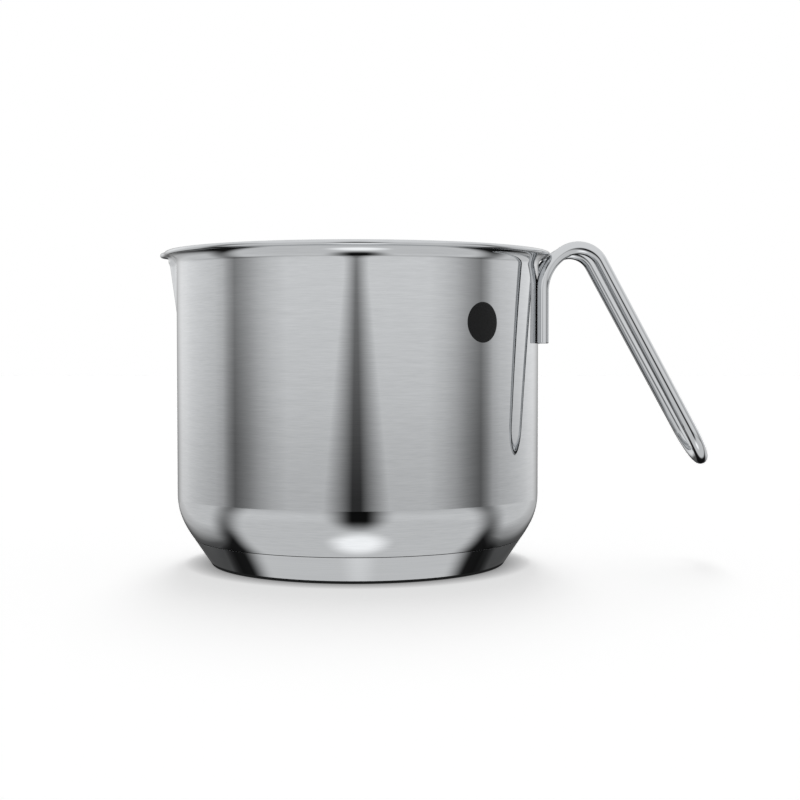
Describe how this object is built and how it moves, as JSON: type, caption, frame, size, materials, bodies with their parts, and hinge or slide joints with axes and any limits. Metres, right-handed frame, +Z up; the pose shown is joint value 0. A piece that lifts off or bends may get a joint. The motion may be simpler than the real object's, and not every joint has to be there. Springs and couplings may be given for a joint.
{
  "type": "milk pan",
  "caption": "Tall stainless steel milk pan with a flared, beaded rim, a small pouring spout, an encapsulated base and a welded handle bent from round rod.",
  "frame": {"origin": "centre of the flat underside that the pan stands on, on the axis of the round body", "axes": "+Z up along the body's axis, +X towards the handle, -X towards the pouring spout, +Y to the left of someone holding the handle and looking at the pan"},
  "size_m": [0.2158, 0.1508, 0.1253],
  "materials": {
    "brushed_steel": "brushed round the body",
    "turned_steel": "fine turned satin",
    "raw_aluminium": "as rolled, hidden inside the base",
    "polished_steel": "bright polished rod"
  },
  "bodies": {
    "root": {"pan_body": "brushed_steel", "base_cap": "turned_steel", "base_core": "raw_aluminium", "handle": "polished_steel"}
  },
  "joints": []
}
